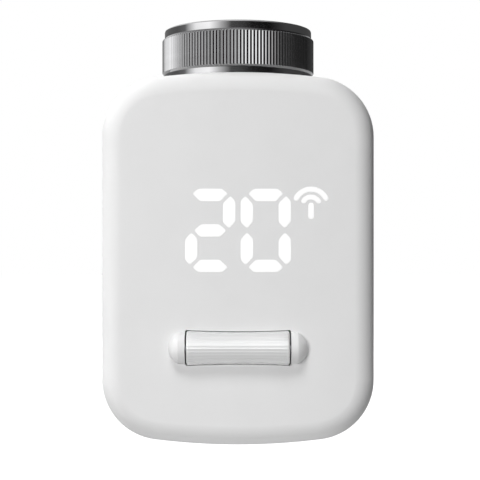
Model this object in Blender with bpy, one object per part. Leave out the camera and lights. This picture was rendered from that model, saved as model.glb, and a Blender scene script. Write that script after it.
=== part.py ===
"""An electronic thermostatic radiator valve head, as an assembly of its real pieces.

Run it with blender --background --python part.py, or from Blender's text editor. It models in metres
with +Z up. The origin is the centre of the valve seat, the ring that the radiator valve's collar stands
on: +Z points out of the head's union nut, towards the valve, and the display faces -Y.

Sizes below are in millimetres. Shapes are drawn at their place in the assembly, and solid() turns them
into objects in metres. Each one's origin is on its own axis, under an empty for the body it moves with.
"""

import math

import bmesh
import bpy
from mathutils import Matrix, Vector

MM = 0.001
GAP = 0.3
RUNNING_GAP = 0.4

# The case, about its own centre, which lies below the valve seat.
CASE_WIDTH = 58.7
CASE_HEIGHT = 80.5
CASE_DEPTH = 50.0
CASE_CENTRE_Z = -43.9
CORNER_RADIUS = 13.0
CROWN_RADIUS = 143.0
EDGE_FILLET = 4.5
WALL = 2.0
SEAM_Y = 18.9
FRONT_Y = -CASE_DEPTH / 2
BACK_Y = CASE_DEPTH / 2
CORNER_STEPS = 6
CROWN_STEPS = 6
FILLET_STEPS = 3

# The union nut, M30 x 1.5, and the coupling that it turns on.
NUT_TOP_Z = 8.5
NUT_BOTTOM_Z = -5.1
KNURL_RADIUS = 17.5
KNURL_LOW_Z = -1.3
KNURL_HIGH_Z = 6.3
RING_RADIUS = 16.95
SKIRT_RADIUS = 17.1
THREAD_MINOR_RADIUS = 14.25
NUT_LIP_TOP_Z = -2.5
COUPLING_RADIUS = 13.0
COUPLING_FLANGE_RADIUS = 14.0
COUPLING_BORE_RADIUS = 10.2
GUIDE_BORE_RADIUS = 8.3
RECESS_RADIUS = 17.9
RECESS_FLOOR_Z = -5.5
RECESS_PAD_LOW_Z = -7.6

# The plunger and its screw thread.
PLUNGER_TIP_Z = -15.6
PLUNGER_HEAD_RADIUS = 7.9
PLUNGER_KEY_RADIUS = 9.3
PLUNGER_ROD_RADIUS = 2.0
PLUNGER_ROD_LOW_Z = -28.6

# The gear train: centres in plan, module and tooth numbers from the plunger's gear to the motor.
DRIVE_MODULE = 0.6
TRAIN_MODULE = 0.5
DRIVE_TEETH = 44
SECOND_PINION_TEETH = 12
SECOND_WHEEL_TEETH = 32
FIRST_PINION_TEETH = 10
FIRST_WHEEL_TEETH = 24
MOTOR_PINION_TEETH = 10
TO_SECOND = math.radians(190)
TO_FIRST = math.radians(-28)
TO_MOTOR = 0.0
MESH_SLACK = 0.06
BACKLASH = 0.12
PIN_RADIUS = 0.75

# The gearbox's floors, one under each layer of gears.
GEARBOX_TOP_Z = -18.9
COVER_LOW_Z = -18.6
COVER_HIGH_Z = -17.2
DRIVE_FLOOR_Z = -22.3
SECOND_FLOOR_Z = -24.7
FIRST_FLOOR_Z = -28.0
FLOOR = 1.2
SCREW_PLACES = ((13.35, 9.35), (-13.35, 9.35), (13.35, -9.35))

# Two AA cells and their contacts.
CELL_RADIUS = 7.25
CELL_LENGTH = 50.5
CELL_X = 7.9
CELL_Y = 13.9
CELL_LOW_Z = CASE_CENTRE_Z - 33.4
SPRING_ROOM = 1.4

# The thumb roller between its two end bosses.
ROLLER_Z = CASE_CENTRE_Z - 19.1
ROLLER_Y = FRONT_Y
ROLLER_RADIUS = 3.7
ROLLER_HALF = 11.05
ROLLER_WINDOW_HALF = 11.4
ROLLER_CREASE = 12.75
ROLLER_DOME_END = 14.9
BOSS_RADIUS = 3.35
AXLE_RADIUS = 0.8

# The display: two seven-segment digits and a small radio mark.
BOARD_FRONT_Y = -17.8
BOARD_BACK_Y = -16.2
DIGIT_CENTRES = (-5.95, 5.9)
DIGIT_LOW_Z = CASE_CENTRE_Z - 2.98
DIGIT_HEIGHT = 17.83
DIGIT_WIDTH = 10.7
SEGMENT = 2.6
MARK_X = 15.5
MARK_Z = CASE_CENTRE_Z + 11.8
BOARD_POST_PLACES = ((-16.3, 12), (16.3, -29))
POST_PLACES = ((22, 31.5), (-22, 31.5), (22.5, -30), (-22.5, -30))


def clear_scene():
    for item in list(bpy.data.objects):
        bpy.data.objects.remove(item)


# Shapes


def mesh_of_rings(rings, capped=True):
    """A closed skin through rings of points, with both ends capped or the last ring joined to the first."""
    bm = bmesh.new()
    loops = [[bm.verts.new(point) for point in ring] for ring in rings]
    pairs = list(zip(loops, loops[1:])) + ([] if capped else [(loops[-1], loops[0])])
    for near, far in pairs:
        for i in range(len(near)):
            j = (i + 1) % len(near)
            bm.faces.new((near[i], near[j], far[j], far[i]))
    if capped:
        bm.faces.new(loops[0][::-1])
        bm.faces.new(loops[-1])
    bmesh.ops.recalc_face_normals(bm, faces=bm.faces)
    return bm


def box(low, high):
    bm = bmesh.new()
    bmesh.ops.create_cube(bm, size=1)
    low, high = Vector(low), Vector(high)
    bmesh.ops.scale(bm, vec=high - low, verts=bm.verts)
    bmesh.ops.translate(bm, vec=(low + high) / 2, verts=bm.verts)
    return bm


def turned(profile, steps, centre=(0, 0, 0), axis="Z", capped=True):
    """A turned solid from (radius, height) points. Without caps the profile closes on itself, as on a ring."""
    rings = []
    for radius, height in profile:
        ring = []
        for i in range(steps):
            angle = math.tau * i / steps
            across, up = radius * math.cos(angle), radius * math.sin(angle)
            place = {"Z": (across, up, height), "X": (height, across, up), "Y": (across, height, up)}[axis]
            ring.append(Vector(place) + Vector(centre))
        rings.append(ring)
    return mesh_of_rings(rings, capped)


def rod(radius, low, high, centre=(0, 0, 0), axis="Z", steps=24):
    return turned(((radius, low), (radius, high)), steps, centre, axis)


def prism(outline, low_z, high_z):
    return mesh_of_rings([[(x, y, z) for x, y in outline] for z in (low_z, high_z)])


def combined(base, tools, operation):
    """The base with each tool joined to it or cut from it by an exact Boolean."""
    for tool in tools:
        pair = []
        for shape in (base, tool):
            mesh = bpy.data.meshes.new("work")
            shape.to_mesh(mesh)
            shape.free()
            pair.append(bpy.data.objects.new("work", mesh))
            bpy.context.scene.collection.objects.link(pair[-1])
        modifier = pair[0].modifiers.new("boolean", "BOOLEAN")
        modifier.operation = operation
        modifier.solver = "EXACT"
        modifier.object = pair[1]
        graph = bpy.context.evaluated_depsgraph_get()
        result = bpy.data.meshes.new_from_object(pair[0].evaluated_get(graph))
        base = bmesh.new()
        base.from_mesh(result)
        for item in pair:
            bpy.data.objects.remove(item)
    return base


def cut(base, *tools):
    return combined(base, tools, "DIFFERENCE")


def joined(base, *tools):
    return combined(base, tools, "UNION")


# Materials and objects


def finish(name, colour, roughness, metallic=0.0):
    made = bpy.data.materials.new(name)
    made.use_nodes = True
    shader = made.node_tree.nodes["Principled BSDF"]
    shader.inputs["Base Color"].default_value = (*colour, 1)
    shader.inputs["Roughness"].default_value = roughness
    shader.inputs["Metallic"].default_value = metallic
    made.diffuse_color = (*colour, 1)
    return made


def body_empty(name, place):
    empty = bpy.data.objects.new(name, None)
    empty.location = Vector(place) * MM
    empty.empty_display_size = 0.01
    bpy.context.scene.collection.objects.link(empty)
    return empty


def solid(name, shape, material, body, origin=None):
    """An object named name from a shape in millimetres, with its origin at a place on its own axis."""
    place = Vector(origin) * MM if origin else body.location.copy()
    mesh = bpy.data.meshes.new(name)
    shape.transform(Matrix.Translation(-place) @ Matrix.Scale(MM, 4))
    bmesh.ops.dissolve_degenerate(shape, dist=1e-7, edges=shape.edges)
    shape.to_mesh(mesh)
    shape.free()
    mesh.shade_smooth()
    mesh.set_sharp_from_angle(angle=math.radians(30))
    mesh.materials.append(material)
    made = bpy.data.objects.new(name, mesh)
    made.parent = body
    made.location = place - body.location
    bpy.context.scene.collection.objects.link(made)
    return made


# The case outline


def case_outline(inset, y):
    """The case's outline at a depth y, drawn in from the outer surface by inset.

    Straight sides, round corners, and a top and bottom that are one shallow arc each.
    """
    corner_x = CASE_WIDTH / 2 - CORNER_RADIUS
    crown_low = CASE_HEIGHT / 2 - CROWN_RADIUS
    reach = CROWN_RADIUS - CORNER_RADIUS
    corner_z = crown_low + math.sqrt(reach**2 - corner_x**2)
    lean = math.asin(corner_x / reach)
    upper = []
    for i in range(CORNER_STEPS + 1):
        angle = (math.pi / 2 - lean) * i / CORNER_STEPS
        radius = CORNER_RADIUS - inset
        upper.append((corner_x + radius * math.cos(angle), corner_z + radius * math.sin(angle)))
    for i in range(1, CROWN_STEPS // 2 + 1):
        angle = math.pi / 2 - lean + lean * 2 * i / CROWN_STEPS
        radius = CROWN_RADIUS - inset
        upper.append((radius * math.cos(angle), crown_low + radius * math.sin(angle)))
    upper[-1] = (0.0, CASE_HEIGHT / 2 - inset)
    left = [(-x, z) for x, z in reversed(upper[:-1])]
    half = upper + left
    whole = half + [(-x, -z) for x, z in half]
    return [(x, y, z + CASE_CENTRE_Z) for x, z in whole]


def case_cup(rim_y, face_y):
    """An open cup of the case's outline, from its rim to a filleted end face, with an even wall."""
    inward = 1 if face_y < rim_y else -1
    inner_fillet = EDGE_FILLET - WALL
    outer, inner = [case_outline(0, rim_y)], [case_outline(WALL, rim_y)]
    for i in range(FILLET_STEPS + 1):
        angle = math.pi / 2 * i / FILLET_STEPS
        inset = 1 - math.cos(angle)
        rise = inward * (1 - math.sin(angle))
        outer.append(case_outline(EDGE_FILLET * inset, face_y + EDGE_FILLET * rise))
        wall_y = face_y + inward * WALL
        inner.append(case_outline(WALL + inner_fillet * inset, wall_y + inner_fillet * rise))
    return mesh_of_rings(outer[::-1] + inner)


# Case pieces


def boss(side):
    """One round boss at an end of the roller, with a domed outer end."""
    profile = [(BOSS_RADIUS, ROLLER_WINDOW_HALF - 0.1), (BOSS_RADIUS, ROLLER_CREASE)]
    for i in range(1, 4):
        angle = math.pi / 2 * i / 4
        reach = ROLLER_CREASE + (ROLLER_DOME_END - ROLLER_CREASE) * math.sin(angle)
        profile.append((BOSS_RADIUS * math.cos(angle), reach))
    profile.append((0.3, ROLLER_DOME_END))
    profile = [(radius, side * reach) for radius, reach in profile]
    return turned(profile, 20, (0, ROLLER_Y, ROLLER_Z), "X")


def front_shell():
    shell = case_cup(SEAM_Y - GAP / 2, FRONT_Y)
    pad = rod(18.6, RECESS_PAD_LOW_Z, RECESS_FLOOR_Z + 0.2, steps=48)
    posts = [
        rod(2.4, FRONT_Y + WALL - 0.6, 16.9, (x, 0, z + CASE_CENTRE_Z), "Y", 14)
        for x, z in POST_PLACES
    ] + [
        rod(1.8, FRONT_Y + WALL - 0.6, BOARD_FRONT_Y - GAP, (x, 0, z + CASE_CENTRE_Z), "Y", 12)
        for x, z in BOARD_POST_PLACES
    ]
    shell = joined(shell, pad, boss(1), boss(-1), *posts)
    roller_window = box(
        (-ROLLER_WINDOW_HALF, FRONT_Y - 5, ROLLER_Z - ROLLER_RADIUS - 0.35),
        (ROLLER_WINDOW_HALF, FRONT_Y + 5, ROLLER_Z + ROLLER_RADIUS + 0.35),
    )
    pocket = box((-13, FRONT_Y + 1, DIGIT_LOW_Z - 1.5), (20.2, FRONT_Y + 3, DIGIT_LOW_Z + 19.8))
    shell = cut(
        shell,
        rod(RECESS_RADIUS, RECESS_FLOOR_Z, 2, steps=48),
        rod(COUPLING_RADIUS + GAP, -12, 2, steps=48),
        roller_window,
        pocket,
    )
    for side in (1, -1):
        low, high = sorted((side * 12.1, side * 13.8))
        ear_room = box((low, -26.7, ROLLER_Z - 1.6), (high, -20.5, ROLLER_Z + 1.6))
        low, high = sorted((side * 11.3, side * 12.5))
        axle_slot = box((low, -26.1, ROLLER_Z - 1.1), (high, -20.5, ROLLER_Z + 1.1))
        shell = cut(shell, ear_room, axle_slot)
    for x, z in POST_PLACES:
        shell = cut(shell, rod(0.95, 8, 18, (x, 0, z + CASE_CENTRE_Z), "Y", 10))
    for x, z in BOARD_POST_PLACES:
        shell = cut(shell, rod(0.85, FRONT_Y + WALL - 0.2, -17, (x, 0, z + CASE_CENTRE_Z), "Y", 10))
    for i in range(5):
        x = 4.0 * (i - 2)
        low_z = CASE_CENTRE_Z - CASE_HEIGHT / 2
        shell = cut(shell, box((x - 0.7, -16, low_z - 1), (x + 0.7, -8, low_z + 4)))
    return shell


def battery_cover():
    cover = case_cup(SEAM_Y + GAP / 2, BACK_Y)
    hooks = []
    for side in (1, -1):
        low, high = sorted((side * 14.2, side * 17))
        top = CASE_CENTRE_Z + 38.2
        hooks.append(box((low, 19.3, top - 2.4), (high, 22, top)))
        hooks.append(box((low, 17.0, top - 2.4), (high, 19.9, top - 1.4)))
    return joined(cover, *hooks)


def battery_tray():
    """The inner rear panel with the two troughs for the cells, screwed to the shell's posts."""
    rings = [case_outline(WALL + 0.35, y) for y in (17.2, 18.6)]
    panel = mesh_of_rings(rings)
    low_z, high_z = CASE_CENTRE_Z - 36.7, CASE_CENTRE_Z + 18.8
    bay = box((-17, 7.2, low_z), (17, 17.9, high_z))
    panel = joined(panel, bay)
    for side in (1, -1):
        x = side * CELL_X
        trough = rod(CELL_RADIUS + 0.25, low_z + 1, high_z - 0.9, (x, CELL_Y, 0), steps=24)
        half = CELL_RADIUS + 0.1
        mouth = box((x - half, CELL_Y, low_z + 1), (x + half, 25, high_z - 0.9))
        panel = cut(panel, trough, mouth)
        low, high = sorted((side * 13.7, side * 17.5))
        panel = cut(panel, box((low, 16, CASE_CENTRE_Z + 35), (high, 20, CASE_CENTRE_Z + 40)))
    panel = cut(panel, box((-12.5, 16, CASE_CENTRE_Z + 35.4), (12.5, 20, CASE_CENTRE_Z + 42)))
    panel = cut(panel, box((-12.4, CELL_Y - 5.4, low_z + 1), (12.4, 25, low_z + 2.2)))
    for x, z in POST_PLACES:
        panel = cut(panel, rod(1.4, 16, 20, (x, 0, z + CASE_CENTRE_Z), "Y", 12))
    return panel


def screw(length, head_radius, shank_radius, low, centre, axis="Z"):
    """A pan-head screw, with the underside of its head at height low and its shank towards lower heights."""
    head = 1.2
    profile = [
        (0.2, low - length),
        (shank_radius, low - length + 0.8),
        (shank_radius, low),
        (head_radius, low),
        (head_radius, low + head * 0.6),
        (head_radius * 0.75, low + head),
        (0.75, low + head),
        (0.75, low + head * 0.4),
    ]
    return turned(profile, 12, centre, axis)


# Nut, coupling and plunger


def union_nut():
    profile = [
        (13.3, NUT_BOTTOM_Z),
        (SKIRT_RADIUS - 0.4, NUT_BOTTOM_Z),
        (SKIRT_RADIUS, NUT_BOTTOM_Z + 0.4),
        (SKIRT_RADIUS, KNURL_LOW_Z - 0.5),
        (KNURL_RADIUS, KNURL_LOW_Z),
        (KNURL_RADIUS, KNURL_HIGH_Z),
        (RING_RADIUS, KNURL_HIGH_Z + 0.5),
        (RING_RADIUS, NUT_TOP_Z - 0.4),
        (RING_RADIUS - 0.4, NUT_TOP_Z),
        (THREAD_MINOR_RADIUS + 0.6, NUT_TOP_Z),
        (THREAD_MINOR_RADIUS, NUT_TOP_Z - 0.6),
        (THREAD_MINOR_RADIUS, NUT_LIP_TOP_Z),
        (13.3, NUT_LIP_TOP_Z),
    ]
    return turned(profile, 44, capped=False)


def valve_coupling():
    profile = [
        (GUIDE_BORE_RADIUS, -16.9),
        (COUPLING_RADIUS, -16.9),
        (COUPLING_RADIUS, -9.9),
        (16.0, -9.9),
        (16.0, -7.9),
        (COUPLING_RADIUS, -7.9),
        (COUPLING_RADIUS, -2.2),
        (COUPLING_FLANGE_RADIUS, -2.2),
        (COUPLING_FLANGE_RADIUS, 0),
        (COUPLING_BORE_RADIUS, 0),
        (COUPLING_BORE_RADIUS, -10.5),
        (GUIDE_BORE_RADIUS, -10.5),
    ]
    barrel = turned(profile, 32, capped=False)
    base = cut(box((-15.7, -11.6, -16.9), (15.7, 11.6, -14.9)), rod(12.4, -18, -14, steps=32))
    barrel = joined(barrel, base)
    for x, y in SCREW_PLACES:
        barrel = cut(barrel, rod(1.1, -18, -14, (x, y, 0), steps=10))
    reach = PLUNGER_KEY_RADIUS + RUNNING_GAP
    keyway = box((-reach, -1.4, -18), (reach, 1.4, -10.9))
    return cut(barrel, keyway)


def plunger():
    profile = [
        (1.4, PLUNGER_ROD_LOW_Z),
        (PLUNGER_ROD_RADIUS, PLUNGER_ROD_LOW_Z + 0.6),
        (PLUNGER_ROD_RADIUS, -18.3),
        (PLUNGER_HEAD_RADIUS, -18.3),
        (PLUNGER_HEAD_RADIUS, PLUNGER_TIP_Z - 0.6),
        (PLUNGER_HEAD_RADIUS - 0.3, PLUNGER_TIP_Z - 0.3),
        (4.8, PLUNGER_TIP_Z - 0.3),
        (4.5, PLUNGER_TIP_Z),
    ]
    keys = box((-PLUNGER_KEY_RADIUS, -1.1, -16.9), (PLUNGER_KEY_RADIUS, 1.1, -16.0))
    return joined(turned(profile, 32), keys)


# Gears


def involute(angle):
    return math.tan(angle) - angle


def gear(module, teeth, low_z, high_z, centre, phase):
    """A straight gear with a tooth's centre at the angle phase. Each tooth has straight flanks."""
    pressure = math.radians(20)
    pitch = module * teeth / 2
    base = pitch * math.cos(pressure)
    tip, root = pitch + 0.8 * module, pitch - 1.1 * module
    at_pitch = (math.pi * module / 2 - BACKLASH) / pitch

    def half_angle(radius):
        lean = math.acos(min(1, base / max(radius, base)))
        return at_pitch / 2 + involute(pressure) - involute(lean)

    outline = []
    for i in range(teeth):
        middle = phase + math.tau * i / teeth
        for radius, side in ((root, -1), (tip, -1), (tip, 1), (root, 1)):
            angle = middle + side * half_angle(radius)
            outline.append((centre[0] + radius * math.cos(angle), centre[1] + radius * math.sin(angle)))
    return prism(outline, low_z, high_z)


def mesh_distance(module, teeth_a, teeth_b):
    return module * (teeth_a + teeth_b) / 2 + MESH_SLACK


def beside(centre, distance, angle):
    return (centre[0] + distance * math.cos(angle), centre[1] + distance * math.sin(angle), 0)


def gear_centres():
    second = beside((0, 0), mesh_distance(DRIVE_MODULE, DRIVE_TEETH, SECOND_PINION_TEETH), TO_SECOND)
    reach = mesh_distance(TRAIN_MODULE, SECOND_WHEEL_TEETH, FIRST_PINION_TEETH)
    first = beside(second, reach, TO_FIRST)
    reach = mesh_distance(TRAIN_MODULE, FIRST_WHEEL_TEETH, MOTOR_PINION_TEETH)
    return second, first, beside(first, reach, TO_MOTOR)


SECOND_CENTRE, FIRST_CENTRE, MOTOR_CENTRE = gear_centres()


def meeting_phase(angle, teeth):
    """The phase of a gear whose gap faces back along angle, to take the other gear's tooth."""
    return angle + math.pi + math.pi / teeth


def drive_gear():
    wheel = gear(DRIVE_MODULE, DRIVE_TEETH, -22.0, -19.0, (0, 0), TO_SECOND)
    hub = rod(3.4, -24.6, -21.5)
    return cut(joined(wheel, hub), rod(PLUNGER_ROD_RADIUS + 0.35, -26, -18))


def second_gear():
    phase = meeting_phase(TO_SECOND, SECOND_PINION_TEETH)
    pinion = gear(DRIVE_MODULE, SECOND_PINION_TEETH, -23.2, -19.2, SECOND_CENTRE, phase)
    wheel = gear(TRAIN_MODULE, SECOND_WHEEL_TEETH, -24.4, -22.4, SECOND_CENTRE, TO_FIRST)
    return cut(joined(wheel, pinion), rod(PIN_RADIUS + 0.2, -26, -18, SECOND_CENTRE, steps=12))


def first_gear():
    phase = meeting_phase(TO_FIRST, FIRST_PINION_TEETH)
    pinion = gear(TRAIN_MODULE, FIRST_PINION_TEETH, -25.5, -22.5, FIRST_CENTRE, phase)
    wheel = gear(TRAIN_MODULE, FIRST_WHEEL_TEETH, -27.0, -24.8, FIRST_CENTRE, TO_MOTOR)
    return cut(joined(wheel, pinion), rod(PIN_RADIUS + 0.2, -28, -21, FIRST_CENTRE, steps=12))


def motor_pinion():
    phase = meeting_phase(TO_MOTOR, MOTOR_PINION_TEETH)
    pinion = gear(TRAIN_MODULE, MOTOR_PINION_TEETH, -27.2, -25.0, MOTOR_CENTRE, phase)
    return joined(pinion, rod(1.0, -31.4, -26.5, MOTOR_CENTRE, steps=12))


# Gearbox


def gearbox_base():
    """The gearbox's tray: a floor under the plunger's gear, and two deeper wells for the smaller ones."""
    upper = box((-26.6, -15.9, DRIVE_FLOOR_Z - FLOOR), (17.0, 15.8, GEARBOX_TOP_Z))
    middle = box((-26.6, -13.1, SECOND_FLOOR_Z - FLOOR), (-6.0, 6.9, -20))
    lower = box((-15.9, -15.9, FIRST_FLOOR_Z - 1.5), (6.4, 5.0, -21))
    base = joined(upper, middle, lower)
    boss_under_gear = rod(3.8, FIRST_FLOOR_Z - 0.5, -25.5)
    base = cut(
        base,
        rod(14.3, DRIVE_FLOOR_Z, -18, steps=40),
        box((-25.6, -12.0, SECOND_FLOOR_Z), (-7.2, 6.0, -18)),
        box((-14.8, -14.7, FIRST_FLOOR_Z), (5.2, 4.0, -20)),
    )
    base = joined(base, boss_under_gear)
    base = cut(base, rod(PLUNGER_ROD_RADIUS + 0.4, -31, -20))
    base = cut(base, rod(1.4, -31, -27, MOTOR_CENTRE, steps=12))
    base = cut(base, rod(PIN_RADIUS + 0.15, -25.6, -23, SECOND_CENTRE, steps=12))
    base = cut(base, rod(PIN_RADIUS + 0.15, -29.1, -27, FIRST_CENTRE, steps=12))
    for x, y in SCREW_PLACES:
        base = cut(base, rod(0.95, -22.2, -18, (x, y, 0), steps=10))
    return base


def gearbox_cover():
    cover = box((-26.6, -15.9, COVER_LOW_Z), (17.0, 15.8, COVER_HIGH_Z))
    cover = cut(cover, rod(PLUNGER_HEAD_RADIUS + 0.5, -20, -16, steps=32))
    cover = cut(cover, rod(PIN_RADIUS + 0.15, -20, -17.6, SECOND_CENTRE, steps=12))
    for x, y in SCREW_PLACES:
        cover = cut(cover, rod(1.1, -20, -16, (x, y, 0), steps=10))
    return cover


def gear_motor(low_z, high_z):
    """A box with two flat sides and two round ones, as small motors have, over the motor's shaft."""
    x, y, _ = MOTOR_CENTRE
    outline = []
    for side in (1, -1):
        for i in range(7):
            angle = math.radians(-56 + 112 * i / 6)
            outline.append((x + side * 6 * math.cos(angle), y + side * 6 * math.sin(angle)))
    return prism(outline, low_z, high_z)


def motor_gearhead():
    head = gear_motor(-38.8, -29.8)
    return cut(head, rod(1.3, -31.8, -29, MOTOR_CENTRE, steps=12))


def motor_can():
    tail = rod(2.2, -55.6, -54, MOTOR_CENTRE, steps=16)
    return joined(gear_motor(-54.4, -39.1), tail)


# Cells and contacts


def cell(side):
    """One AA cell. The left one's round contact is at its top, and the right one's is at its bottom."""
    length = CELL_LENGTH - 1
    profile = [
        (CELL_RADIUS - 0.7, 0),
        (CELL_RADIUS, 0.5),
        (CELL_RADIUS, length - 0.5),
        (CELL_RADIUS - 0.7, length),
        (2.75, length),
        (2.65, length + 1),
    ]
    low_z = CELL_LOW_Z
    if side > 0:
        profile = [(radius, CELL_LENGTH - height) for radius, height in profile]
        low_z -= SPRING_ROOM
    return turned(profile, 24, (side * CELL_X, CELL_Y, low_z))


def contact_plate(side):
    """The terminal plate above one cell."""
    x, low_z = side * CELL_X, CELL_LOW_Z + CELL_LENGTH + GAP
    return box((x - 4.5, CELL_Y - 5, low_z), (x + 4.5, CELL_Y + 5, low_z + 0.4))


def contact_bridge():
    """The plate under both cells that joins them, with a raised pad for the right cell's round contact."""
    high_z = CELL_LOW_Z - SPRING_ROOM - 0.4
    plate = box((-12, CELL_Y - 5, high_z - 0.4), (12, CELL_Y + 5, high_z))
    return joined(plate, box((CELL_X - 2, CELL_Y - 2, high_z - 0.2), (CELL_X + 2, CELL_Y + 2, high_z + 0.15)))


def contact_spring(side):
    """A conical contact spring: a wire wound on a cone whose narrow end meets the cell's flat end."""
    turns, steps, wire = 2.5, 12, 0.25
    wide, narrow = 3.4, 1.9
    centre = Vector((side * CELL_X, CELL_Y, 0))
    wide_z, narrow_z = CELL_LOW_Z - SPRING_ROOM + 0.1, CELL_LOW_Z - wire - GAP
    if side > 0:
        top_z = CELL_LOW_Z + CELL_LENGTH
        wide_z, narrow_z = top_z - wire + 0.05, top_z - SPRING_ROOM + wire + GAP
    rings = []
    count = int(turns * steps)
    for i in range(count + 1):
        part = i / count
        angle = math.tau * turns * part
        out = Vector((math.cos(angle), math.sin(angle), 0))
        up = Vector((0, 0, 1))
        middle = centre + out * (wide + (narrow - wide) * part) + up * (wide_z + (narrow_z - wide_z) * part)
        around = [math.tau * k / 5 for k in range(5)]
        rings.append([middle + out * wire * math.cos(turn) + up * wire * math.sin(turn) for turn in around])
    return mesh_of_rings(rings)


# Roller


def thumb_roller():
    """The roller's outer sleeve, a little narrower in its middle, with a bevel at each end."""
    waist = 0.28
    stations = 9
    outer = []
    for i in range(stations):
        x = -(ROLLER_HALF - 0.35) + 2 * (ROLLER_HALF - 0.35) * i / (stations - 1)
        outer.append((ROLLER_RADIUS - waist * (1 - (x / ROLLER_HALF) ** 2), x))
    rim = ROLLER_RADIUS - 0.35
    bore = 2.7
    profile = [(bore, -ROLLER_HALF), (rim, -ROLLER_HALF), *outer, (rim, ROLLER_HALF), (bore, ROLLER_HALF)]
    return turned(profile, 24, (0, ROLLER_Y, ROLLER_Z), "X", capped=False)


def roller_core():
    """The roller's inner bush, hollow at its right end for the magnet."""
    bore = AXLE_RADIUS + 0.15
    profile = [
        (bore, -ROLLER_HALF + 0.1),
        (2.5, -ROLLER_HALF + 0.1),
        (2.5, ROLLER_HALF - 0.1),
        (2.2, ROLLER_HALF - 0.1),
        (2.2, ROLLER_HALF - 3.4),
        (bore, ROLLER_HALF - 3.4),
    ]
    return turned(profile, 20, (0, ROLLER_Y, ROLLER_Z), "X", capped=False)


def roller_magnet():
    low, high = ROLLER_HALF - 3.2, ROLLER_HALF - 0.2
    profile = [(AXLE_RADIUS + 0.15, low), (2.05, low), (2.05, high), (AXLE_RADIUS + 0.15, high)]
    return turned(profile, 20, (0, ROLLER_Y, ROLLER_Z), "X", capped=False)


def roller_carrier():
    """The cradle behind the roller, with an ear at each end that holds the axle."""
    plate = box((-13.45, -20.9, ROLLER_Z - 1.9), (13.45, -20.0, ROLLER_Z + 1.9))
    for side in (1, -1):
        low, high = sorted((side * 12.45, side * 13.45))
        ear = box((low, -25.0, ROLLER_Z - 1.3), (high, -20.4, ROLLER_Z + 1.3))
        tip = rod(1.3, low, high, (0, ROLLER_Y, ROLLER_Z), "X", 16)
        plate = joined(plate, ear, tip)
        plate = cut(plate, rod(AXLE_RADIUS + 0.1, low - 1, high + 1, (0, ROLLER_Y, ROLLER_Z), "X", 12))
    return plate


# Display and board


def segment_outline(length):
    """A display segment lying along X about its own centre: a bar with pointed ends."""
    half, tip = length / 2, SEGMENT / 2
    return [(-half, 0), (-half + tip, -tip), (half - tip, -tip), (half, 0), (half - tip, tip), (-half + tip, tip)]


def segment_places():
    """(x, z, upright) of each segment's centre in both digits."""
    rows = [DIGIT_LOW_Z + SEGMENT / 2 + i * (DIGIT_HEIGHT - SEGMENT) / 2 for i in range(3)]
    reach = (DIGIT_WIDTH - SEGMENT) / 2
    places = []
    for x in DIGIT_CENTRES:
        places += [(x, row, False) for row in rows]
        for side in (1, -1):
            places += [(x + side * reach, (low + high) / 2, True) for low, high in zip(rows, rows[1:])]
    return places


def segment_hole(x, z, upright):
    length = (DIGIT_HEIGHT - SEGMENT) / 2 - 0.9 if upright else DIGIT_WIDTH - SEGMENT - 0.9
    outline = segment_outline(length)
    points = [(x + b, z + a) if upright else (x + a, z + b) for a, b in outline]
    return mesh_of_rings([[(px, y, pz) for px, pz in points] for y in (-26, -18)])


def display_light_box():
    block = box((-12.6, -23.05, DIGIT_LOW_Z - 1.2), (19.9, -19.6, DIGIT_LOW_Z + 19.4))
    for place in segment_places():
        block = cut(block, segment_hole(*place))
    return cut(block, rod(3.6, -26, -18, (MARK_X, 0, MARK_Z), "Y", 16))


def led_array():
    """The light board behind the segments: a thin carrier with one small light for each segment."""
    board = box((-12.6, -18.5, DIGIT_LOW_Z - 1.2), (19.6, -18.1, DIGIT_LOW_Z + 19.4))
    lights = [(x, z) for x, z, _ in segment_places()] + [(MARK_X, MARK_Z)]
    for x, z in lights:
        board = joined(board, box((x - 0.8, -19.2, z - 0.4), (x + 0.8, -18.3, z + 0.4)))
    return board


def main_board():
    low_z, high_z = CASE_CENTRE_Z - 34.5, CASE_CENTRE_Z + 24
    board = box((-19.6, BOARD_FRONT_Y, low_z), (19.6, BOARD_BACK_Y, high_z))
    for x, z in BOARD_POST_PLACES:
        board = cut(board, rod(1.0, -19, -15, (x, 0, z + CASE_CENTRE_Z), "Y", 10))
    return board


def radio_module():
    """A small radio board with its shielding can joined to it."""
    low, high = CASE_CENTRE_Z - 29, CASE_CENTRE_Z - 13
    board = box((-17, -15.9, low), (-3, -15.1, high))
    return joined(board, box((-16.3, -15.4, low + 0.7), (-3.7, -13.4, high - 5)))


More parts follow.
